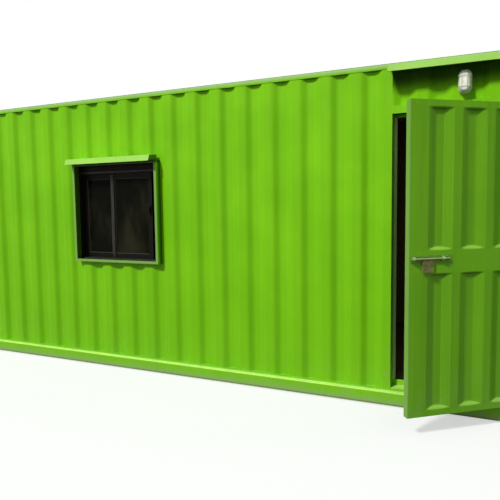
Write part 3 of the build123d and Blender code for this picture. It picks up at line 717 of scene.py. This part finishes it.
def stud(made, place, out, head):
    """Add a domed screw or pin head, given by its radius and height, that stands out of a face."""
    radius, height = head
    turn = Matrix.Translation(Vector(place)) @ UP.rotation_difference(out).to_matrix().to_4x4()
    rim = bmesh.ops.create_circle(made, segments=STUD_SIDES, radius=radius, cap_ends=True, matrix=turn)
    grown = bmesh.ops.extrude_face_region(made, geom=list(rim["verts"][0].link_faces))["geom"]
    bmesh.ops.translate(made, vec=Vector(out) * height, verts=only(BMVert, grown))
    bmesh.ops.bevel(made, geom=only(BMEdge, grown), offset=height * STUD_ROUND_SHARE, segments=STUD_STEPS,
                    profile=0.5, affect="EDGES", material=-1)


def sweep(made, path, radius, sides, ripple=0.0, closed=False):
    """Draw a round wire or a rippled bead along a path of points."""
    path = [Vector(point) for point in path]
    count = len(path)
    ways = []
    for n in range(count):
        before = path[n - 1] if n > 0 or closed else path[n]
        after = path[(n + 1) % count] if n < count - 1 or closed else path[n]
        ways.append((after - before).normalized())
    start = bmesh.ops.create_circle(made, segments=sides, radius=radius, cap_ends=not closed)["verts"]
    turn = UP.rotation_difference(ways[0]).to_matrix().to_4x4()
    bmesh.ops.transform(made, matrix=Matrix.Translation(path[0]) @ turn, verts=start)
    first_ring = ring = edges_at(start)
    for n in range(1, count):
        grown = bmesh.ops.extrude_edge_only(made, edges=ring)["geom"]
        corners = only(BMVert, grown)
        fresh = set(corners)
        ring = [edge for edge in only(BMEdge, grown) if fresh.issuperset(edge.verts)]
        bend = ways[n - 1].rotation_difference(ways[n]).to_matrix()
        bmesh.ops.rotate(made, cent=path[n - 1], matrix=bend, verts=corners)
        bmesh.ops.translate(made, vec=path[n] - path[n - 1], verts=corners)
        if ripple:
            swell = 1 + ripple if n % 2 else 1 / (1 + ripple)
            shift = Matrix.Translation(-path[n])
            bmesh.ops.scale(made, vec=(swell, swell, swell), space=shift, verts=corners)
    if closed:
        bmesh.ops.bridge_loops(made, edges=ring + first_ring)
    else:
        bmesh.ops.contextual_create(made, geom=ring)


def bent_wire(steps):
    """Shares along and out of a wire that bends over the light's glass, in even steps of its turn."""
    turns = [pi * n / steps for n in range(steps + 1)]
    return [(cos(turn), sin(turn) ** BULGE) for turn in turns]


def round_loop(low, high, corner, steps=4):
    """An upright rectangle with round corners at the front of a box, as points in order."""
    left, right = low.x + corner, high.x - corner
    foot, top = low.z + corner, high.z - corner
    points = []
    for quarter, (x, z) in enumerate(((right, top), (left, top), (left, foot), (right, foot))):
        for n in range(steps + 1):
            angle = pi / 2 * (quarter + n / steps)
            points.append((x + corner * cos(angle), low.y, z + corner * sin(angle)))
    return points


def foot_line(node, out):
    """Points along the outer foot of a wall sheet, in order."""
    mesh = frame["nodes"][node].data
    along = UP.cross(out)
    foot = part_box(node)[0].z
    points = {}
    for face in mesh.polygons:
        if face.normal.dot(out) > FOOT_FACING:
            for n in face.vertices:
                corner = mesh.vertices[n].co
                if corner.z - foot < SAME_LEVEL:
                    points[round(corner.dot(along), 4)] = corner.copy()
    return [points[key] for key in sorted(points)]


def pane_boxes():
    """The two panes of the window as low and high corners, from left to right."""
    corners = [corner.co for corner in frame["nodes"]["window_glass"].data.vertices]
    low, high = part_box("window_glass")
    between = (low.y + high.y) / 2
    boxes = []
    for behind in (True, False):
        axes = list(zip(*(corner for corner in corners if (corner.y > between) == behind)))
        boxes.append((Vector([min(axis) for axis in axes]), Vector([max(axis) for axis in axes])))
    return sorted(boxes, key=lambda box: box[0].x)


def is_fold(edge):
    """Whether an edge is a fold between two flats of a sheet."""
    return FOLD_ANGLES[0] < edge.calc_face_angle() < FOLD_ANGLES[1]


def is_rolled(edge):
    """Whether an edge is a long outer corner of a rail."""
    return edge.is_convex and edge.calc_length() > ROLLED_LENGTH and edge.calc_face_angle() > ROLLED_ANGLE


def is_cast(edge):
    """Whether an edge is an outer edge of a casting or the rim of its slot."""
    return edge.is_convex and edge.calc_face_angle() > CAST_ANGLE


def replace_rounded(table, reach, wanted):
    """Put a merged copy of each node in a table in its place, with the wanted edges rounded."""
    steps = bpy.context.scene.cabin_sizes.fold_steps
    for node, (name, finish) in table.items():
        made = bmesh.new()
        made.from_mesh(frame["nodes"][node].data)
        bmesh.ops.remove_doubles(made, verts=made.verts, dist=PACKED_DOUBLES)
        bmesh.ops.dissolve_limit(made, angle_limit=FLAT_ANGLE, verts=made.verts, edges=made.edges)
        made.normal_update()
        edges = [edge for edge in made.edges if len(edge.link_faces) == 2 and wanted(edge)]
        if not edges:
            raise RuntimeError(f"{node} has no edge to round")
        bmesh.ops.bevel(made, geom=edges, offset=reach, offset_type="OFFSET", segments=steps, profile=0.5,
                        affect="EDGES", material=-1, clamp_overlap=True)
        piece = put(made, name, "cabin", finish, (node,))
        flats = piece.modifiers.new("flats", "WEIGHTED_NORMAL")
        flats.keep_sharp = True
        flats.weight = FLATS_WEIGHT


class CABIN_OT_painted_nodes(bpy.types.Operator):
    """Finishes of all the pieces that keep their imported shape"""

    bl_idname = "cabin.painted_nodes"
    bl_label = "Paint and Finishes"

    def execute(self, context):
        for subpart in frame["record"]["subparts"]:
            node = subpart["node"]
            slots = frame["nodes"][node].data.materials
            slots.clear()
            slots.append(finishes()[NODE_FINISHES.get(node, SLOT_FINISHES[subpart["material_slot"]])])
        return {"FINISHED"}


class CABIN_OT_wall_sheets(bpy.types.Operator):
    """Ribbed wall sheets with rounded folds, in place of the sharp ones"""

    bl_idname = "cabin.wall_sheets"
    bl_label = "Wall Sheets"

    def execute(self, context):
        replace_rounded(WALL_SHEETS, context.scene.cabin_sizes.fold_reach, is_fold)
        return {"FINISHED"}


class CABIN_OT_rolled_steel(bpy.types.Operator):
    """Rails with rolled corners, in place of the sharp ones"""

    bl_idname = "cabin.rolled_steel"
    bl_label = "Rails"

    def execute(self, context):
        replace_rounded(ROLLED_STEEL, context.scene.cabin_sizes.corner_reach, is_rolled)
        return {"FINISHED"}


class CABIN_OT_castings(bpy.types.Operator):
    """Corner castings with rounded edges, in place of the sharp ones"""

    bl_idname = "cabin.castings"
    bl_label = "Corner Castings"

    def execute(self, context):
        replace_rounded(CASTINGS, context.scene.cabin_sizes.casting_reach, is_cast)
        return {"FINISHED"}


class CABIN_OT_leaf_panels(bpy.types.Operator):
    """Pressed panels of the door leaf with rounded pockets"""

    bl_idname = "cabin.leaf_panels"
    bl_label = "Door Panels"

    def execute(self, context):
        sizes = context.scene.cabin_sizes
        for node, name in LEAF_SHEETS.items():
            made = self.pressed_panel(node, sizes)
            put(made, name, "door", "leaf_enamel", (node,))
        return {"FINISHED"}

    def stops(self, places):
        """The different values in a list of places, in order."""
        found = []
        for place in sorted(places):
            if not found or place - found[-1] > SAME_STOP:
                found.append(place)
        return found

    def pressed_panel(self, node, sizes):
        """Lay a grid over a sheet's face, press its pockets in and ease the folds."""
        corners = leaf_corners(node)
        face = max(corner.y for corner in corners)
        on_face = [corner for corner in corners if face - corner.y < SAME_LEVEL]
        along = self.stops(corner.x for corner in on_face)
        height = self.stops(corner.z for corner in on_face)
        if len(along) != SHEET_COLUMNS + 1 or len(height) != SHEET_ROWS + 1:
            raise RuntimeError(f"{node} doesn't show three pockets")
        depth = face - min(corner.y for corner in corners) - sizes.sheet_thickness
        floor = [corner for corner in corners if abs(face - depth - corner.y) < SAME_LEVEL]
        middle = (height[1] + height[2]) / 2
        side_run = min(corner.x for corner in floor) - along[1]
        end_run = sizes.end_share * (max(corner.z for corner in floor if corner.z < middle) - height[1])
        made = self.flat_grid(along, face, height)
        pockets = [flat for flat in made.faces if self.is_pocket(flat.calc_center_median(), along, height)]
        bmesh.ops.inset_individual(made, faces=pockets, thickness=end_run, depth=-depth, use_even_offset=True)
        mouth = along[2] - along[1]
        narrow = (mouth - 2 * side_run) / (mouth - 2 * end_run)
        for pocket in pockets:
            shift = Matrix.Translation(-pocket.calc_center_median())
            bmesh.ops.scale(made, vec=(narrow, 1, 1), space=shift, verts=list(pocket.verts))
        step = sizes.press_step
        low, high = height[0] + END_ZONE_SHARE * end_run, height[-1] - END_ZONE_SHARE * end_run
        self.slice(made, RIGHT, along[0], along[-1], step)
        self.slice(made, UP, height[0], low, step * FINE_SHARE)
        self.slice(made, UP, low, high, step * COARSE_SHARE)
        self.slice(made, UP, high, height[-1], step * FINE_SHARE)
        inner = [corner for corner in made.verts if not corner.is_boundary]
        for n in range(sizes.press_passes):
            bmesh.ops.smooth_vert(made, verts=inner, factor=EASING, use_axis_y=True)
        grown = bmesh.ops.extrude_face_region(made, geom=list(made.faces), use_keep_orig=True)["geom"]
        bmesh.ops.translate(made, vec=(0, -sizes.sheet_thickness, 0), verts=only(BMVert, grown))
        bmesh.ops.transform(made, matrix=LEAF_PLACE, verts=made.verts)
        return made

    def flat_grid(self, along, face, height):
        """A flat sheet that looks out of the leaf, with its lines at the edges of the pockets."""
        made = bmesh.new()
        bmesh.ops.create_grid(made, x_segments=SHEET_COLUMNS, y_segments=SHEET_ROWS, size=0.5)
        for corner in made.verts:
            column = round((corner.co.x + 0.5) * SHEET_COLUMNS)
            row = round((corner.co.y + 0.5) * SHEET_ROWS)
            corner.co = (along[column], face, height[row])
        bmesh.ops.recalc_face_normals(made, faces=made.faces)
        if made.faces[0].normal.y < 0:
            bmesh.ops.reverse_faces(made, faces=made.faces)
        return made

    def is_pocket(self, place, along, height):
        """Whether a place on the sheet lies in a pocket."""
        beside = any(along[n] < place.x < along[n + 1] for n in POCKET_COLUMNS)
        return beside and height[1] < place.z < height[2]

    def slice(self, made, way, start, end, step):
        """Cut a sheet across at even steps, so that it can bend there."""
        count = round((end - start) / step)
        for n in range(1, count + 1):
            place = start + (end - start) * n / count
            bmesh.ops.bisect_plane(made, geom=made.verts[:] + made.edges[:] + made.faces[:],
                                   dist=PACKED_DOUBLES, plane_co=way * place, plane_no=way)


class CABIN_OT_weld_beads(bpy.types.Operator):
    """Weld beads where the window's hood meets the wall and the walls stand on the rails"""

    bl_idname = "cabin.weld_beads"
    bl_label = "Weld Beads"

    def execute(self, context):
        sizes = context.scene.cabin_sizes
        made = bmesh.new()
        line = [Vector((x, CREST, HOOD_HIGH.z)) for x in (HOOD_LOW.x, HOOD_HIGH.x)]
        self.bead(made, line, sizes)
        put(made, "hood_weld", "cabin", "weld_enamel")
        for name, (nodes, out) in FOOT_WELDS.items():
            made = bmesh.new()
            for node in nodes:
                line = foot_line(node, out)
                if len(line) < 2:
                    raise RuntimeError(f"{node} has no foot to weld")
                self.bead(made, line, sizes)
            put(made, name, "cabin", "weld_enamel")
        return {"FINISHED"}

    def bead(self, made, line, sizes):
        """Lay a bead along a line of points, with two steps for each ripple."""
        path = []
        for start, end in zip(line, line[1:]):
            count = max(2, round((end - start).length / sizes.bead_step * 2))
            path += [start.lerp(end, n / count) for n in range(count)]
        sweep(made, path + [line[-1]], sizes.bead_radius, BEAD_SIDES, ripple=BEAD_RIPPLE)


class CABIN_OT_light_guard(bpy.types.Operator):
    """Wire guard of the light over the door"""

    bl_idname = "cabin.light_guard"
    bl_label = "Light Guard"

    def execute(self, context):
        sizes = context.scene.cabin_sizes
        wire, gap = sizes.wire_radius, sizes.guard_gap
        middle = (LENS_LOW + LENS_HIGH) / 2
        half_wide = (LENS_HIGH.x - LENS_LOW.x) / 2 + gap
        half_tall = (LENS_HIGH.z - LENS_LOW.z) / 2 + gap
        straight = half_tall - half_wide
        foot = LAMP_LOW.y - wire
        rise = LENS_LOW.y - gap - foot
        made = bmesh.new()
        hoop = []
        for n in range(HOOP_STEPS):
            across, up = cos(2 * pi * n / HOOP_STEPS), sin(2 * pi * n / HOOP_STEPS)
            level = middle.z + copysign(straight, up) + half_wide * up
            hoop.append((middle.x + half_wide * across, foot, level))
        sweep(made, hoop, wire, WIRE_SIDES, closed=True)
        for share in BAR_SHARES:
            reach = straight + half_wide * sqrt(1 - share * share)
            bar = [(middle.x + share * half_wide, foot + rise * out, middle.z + reach * along)
                   for along, out in bent_wire(BAR_STEPS)]
            sweep(made, bar, wire, WIRE_SIDES)
        for share in CROSS_BAR_SHARES:
            bar = [(middle.x + half_wide * along, foot + (rise - wire) * out, middle.z + share * half_tall)
                   for along, out in bent_wire(CROSS_BAR_STEPS)]
            sweep(made, bar, wire, WIRE_SIDES)
        put(made, "light_guard", "cabin", "lamp_casting")
        return {"FINISHED"}


class CABIN_OT_window_fittings(bpy.types.Operator):
    """Pane seals, meeting strip, glazing lips and the latch of the sliding window"""

    bl_idname = "cabin.window_fittings"
    bl_label = "Window Fittings"

    def execute(self, context):
        seal = context.scene.cabin_sizes.seal_width
        panes = pane_boxes()
        made = bmesh.new()
        for low, high in panes:
            sweep(made, round_loop(low, high, seal), seal / 2, SEAL_SIDES, closed=True)
        put(made, "pane_seals", "cabin", "pane_rubber")
        right_low, right_high = panes[1]
        stile = SASH_HIGH.x - right_high.x
        face = SASH_LOW.y
        left, right = (right_low.x + stile * share for share in STRIP_SHARES)
        made = bmesh.new()
        block(made, (left, face - STRIP_PROUD, SASH_LOW.z + STRIP_SHORT),
              (right, face + SEAT, SASH_HIGH.z - STRIP_SHORT), STRIP_EDGE)
        put(made, "meeting_strip", "cabin", "worn_bars")
        made = bmesh.new()
        for level in (GLAZING_LOW.z, SASH_HIGH.z):
            block(made, (GLAZING_LOW.x + SEAT, GLAZING_LOW.y - LIP_PROUD, level + LIP_FOOT),
                  (GLAZING_HIGH.x - SEAT, GLAZING_LOW.y + SEAT, level + LIP_TOP), STRIP_EDGE)
        put(made, "glazing_lips", "cabin", "worn_bars")
        made = self.latch(right_high.x + stile * LATCH_SHARE, face, stile)
        put(made, "window_latch", "cabin", "bronze_bars")
        return {"FINISHED"}

    def latch(self, left, face, stile):
        """A plate with a knob and two screws on the face of a stile."""
        level = (SASH_LOW.z + SASH_HIGH.z) / 2 + LATCH_RISE
        width = stile * LATCH_WIDTH_SHARE
        made = bmesh.new()
        block(made, (left, face - LATCH_PROUD, level - LATCH_HALF),
              (left + width, face + SEAT, level + LATCH_HALF), LATCH_EDGE)
        knob_left, knob_right = (left + stile * share for share in KNOB_SHARES)
        block(made, (knob_left, face - KNOB_PROUD, level - KNOB_HALF),
              (knob_right, face - KNOB_SINK, level + KNOB_HALF), KNOB_EDGE)
        for side in (-1, 1):
            place = (left + width / 2, face - LATCH_PROUD, level + side * LATCH_SCREW_RISE)
            stud(made, place, AHEAD, LATCH_SCREW)
        return made


class CABIN_OT_door_fittings(bpy.types.Operator):
    """Screws of the bolt's guides and heads of the hinge pins"""

    bl_idname = "cabin.door_fittings"
    bl_label = "Door Fittings"

    def execute(self, context):
        across, out, height = zip(*leaf_corners("bolt_guides"))
        length = max(across) - min(across)
        plate = min(out) + GUIDE_PLATE
        made = bmesh.new()
        for share, offset in GUIDE_SCREW_PLACES:
            for level in (min(height) + GUIDE_SCREW_MARGIN, max(height) - GUIDE_SCREW_MARGIN):
                place = Vector((min(across) + share * length + offset, plate, level))
                stud(made, LEAF_PLACE @ place, OUT_OF_LEAF, GUIDE_SCREW)
        put(made, "guide_screws", "door", "painted_guides")
        levels = sorted({round(corner.co.z, 3) for corner in frame["nodes"]["leaf_hinges"].data.vertices})
        made = bmesh.new()
        for knuckle_top in levels[1::2]:
            stud(made, (PIN.x, PIN.y, knuckle_top), UP, PIN_HEAD)
        put(made, "hinge_pin_heads", "door", "frame_enamel")
        return {"FINISHED"}


class CABIN_OT_stage(bpy.types.Operator):
    """Pale floor, soft light and the camera of the photograph"""

    bl_idname = "cabin.stage"
    bl_label = "Stage"

    def execute(self, context):
        stage = context.scene.cabin_stage
        made = bmesh.new()
        bmesh.ops.create_grid(made, x_segments=1, y_segments=1, size=stage.floor_size / 2)
        bmesh.ops.translate(made, vec=(0, 0, CAD_BOX[0][2] - FLOOR_DROP), verts=made.verts)
        floor = add_shape(made, "floor", self.floor_finish())
        self.light_world(context.scene, stage)
        key = bpy.data.lights.new("key", "SUN")
        key.energy = stage.sun_strength
        key.angle = stage.sun_angle
        lamp = add_object("key", key)
        lamp.matrix_world = Vector(stage.sun_from).to_track_quat("Z", "Y").to_matrix().to_4x4()
        self.place_camera(context.scene)
        context.scene.view_settings.view_transform = "Standard"
        return {"FINISHED"}

    def seen_by_eye(self, tree):
        """A share that is 1 for what the camera sees, straight, mirrored or through glass."""
        rays = tree.node("LightPath").outputs
        share = rays["Is Camera Ray"]
        for ray in ("Is Glossy Ray", "Is Transmission Ray"):
            share = tree.calc("MAXIMUM", share, rays[ray])
        return share

    def floor_finish(self):
        """A white floor to the eye that keeps its shadows and throws little light back."""
        finish = bpy.data.materials.new("studio_floor")
        tree = Shading(finish)
        tree.nodes.clear()
        dim = tree.node("BsdfDiffuse", {"Color": FLOOR_DIM}).outputs[0]
        pale = tree.node("BsdfDiffuse", {"Color": FLOOR_PALE}).outputs[0]
        glow = tree.node("Emission", {"Color": WHITE}).outputs[0]
        eye_floor = tree.node("MixShader", {0: FLOOR_GLOW, 1: pale, 2: glow}).outputs[0]
        both = tree.node("MixShader", {0: self.seen_by_eye(tree), 1: dim, 2: eye_floor}).outputs[0]
        tree.node("OutputMaterial", {"Surface": both})
        return finish

    def light_world(self, scene, stage):
        """White all round to the eye, and soft fill light for the cabin."""
        scene.world = bpy.data.worlds.new("studio")
        tree = Shading(scene.world)
        tree.nodes.clear()
        way = tree.node("TexCoord").outputs["Generated"]
        across = tree.node("SeparateXYZ", {0: way}).outputs["X"]
        strengths = (stage.fill_strength, stage.fill_strength * stage.fill_right)
        strength = tree.band(across, *FILL_FADE, *strengths, easing="LINEAR")
        fill = tree.node("Background", {"Color": FILL_COLOUR, "Strength": strength}).outputs[0]
        white = tree.node("Background", {"Color": WHITE}).outputs[0]
        both = tree.node("MixShader", {0: self.seen_by_eye(tree), 1: fill, 2: white}).outputs[0]
        tree.node("OutputWorld", {"Surface": both})

    def place_camera(self, scene):
        """The camera where the photograph was taken from."""
        heading = Matrix.Rotation(-CAMERA_YAW, 4, "Z")
        tilt = Matrix.Rotation(pi / 2 + CAMERA_PITCH, 4, "X")
        roll = Matrix.Rotation(CAMERA_ROLL, 4, "Z")
        data = bpy.data.cameras.new("photo_camera")
        data.sensor_width = SENSOR
        data.lens = FOCAL_SHARE * SENSOR
        data.clip_end = VIEW_END
        camera = add_object("photo_camera", data)
        camera.matrix_world = Matrix.Translation(CAMERA_PLACE) @ heading @ tilt @ roll
        scene.camera = camera


GROUPS = {"cabin_finish": CabinFinish, "cabin_sizes": CabinSizes, "cabin_stage": CabinStage}
OPERATORS = (
    CABIN_OT_painted_nodes,
    CABIN_OT_wall_sheets,
    CABIN_OT_rolled_steel,
    CABIN_OT_castings,
    CABIN_OT_leaf_panels,
    CABIN_OT_weld_beads,
    CABIN_OT_light_guard,
    CABIN_OT_window_fittings,
    CABIN_OT_door_fittings,
    CABIN_OT_stage,
)


class VIEW3D_PT_cabin(bpy.types.Panel):
    """Sidebar panel with the cabin's steps, finishes and sizes"""

    bl_label = "Site Cabin"
    bl_space_type = "VIEW_3D"
    bl_region_type = "UI"
    bl_category = "Cabin"

    def draw(self, context):
        for step in OPERATORS:
            self.layout.operator(step.bl_idname)
        for group in GROUPS:
            values = getattr(context.scene, group)
            for name in values.bl_rna.properties.keys():
                if name not in ("rna_type", "name"):
                    self.layout.prop(values, name)


def register():
    for name, group in GROUPS.items():
        bpy.utils.register_class(group)
        setattr(bpy.types.Scene, name, PointerProperty(type=group))
    for step in OPERATORS:
        bpy.utils.register_class(step)
    bpy.utils.register_class(VIEW3D_PT_cabin)


def unregister():
    bpy.utils.unregister_class(VIEW3D_PT_cabin)
    for step in reversed(OPERATORS):
        bpy.utils.unregister_class(step)
    for name, group in GROUPS.items():
        delattr(bpy.types.Scene, name)
        bpy.utils.unregister_class(group)


def main():
    register()
    bpy.ops.cabin.painted_nodes()
    bpy.ops.cabin.wall_sheets()
    bpy.ops.cabin.rolled_steel()
    bpy.ops.cabin.castings()
    bpy.ops.cabin.leaf_panels()
    bpy.ops.cabin.weld_beads()
    bpy.ops.cabin.light_guard()
    bpy.ops.cabin.window_fittings()
    bpy.ops.cabin.door_fittings()
    bpy.ops.cabin.stage()


if __name__ == "__main__":
    main()
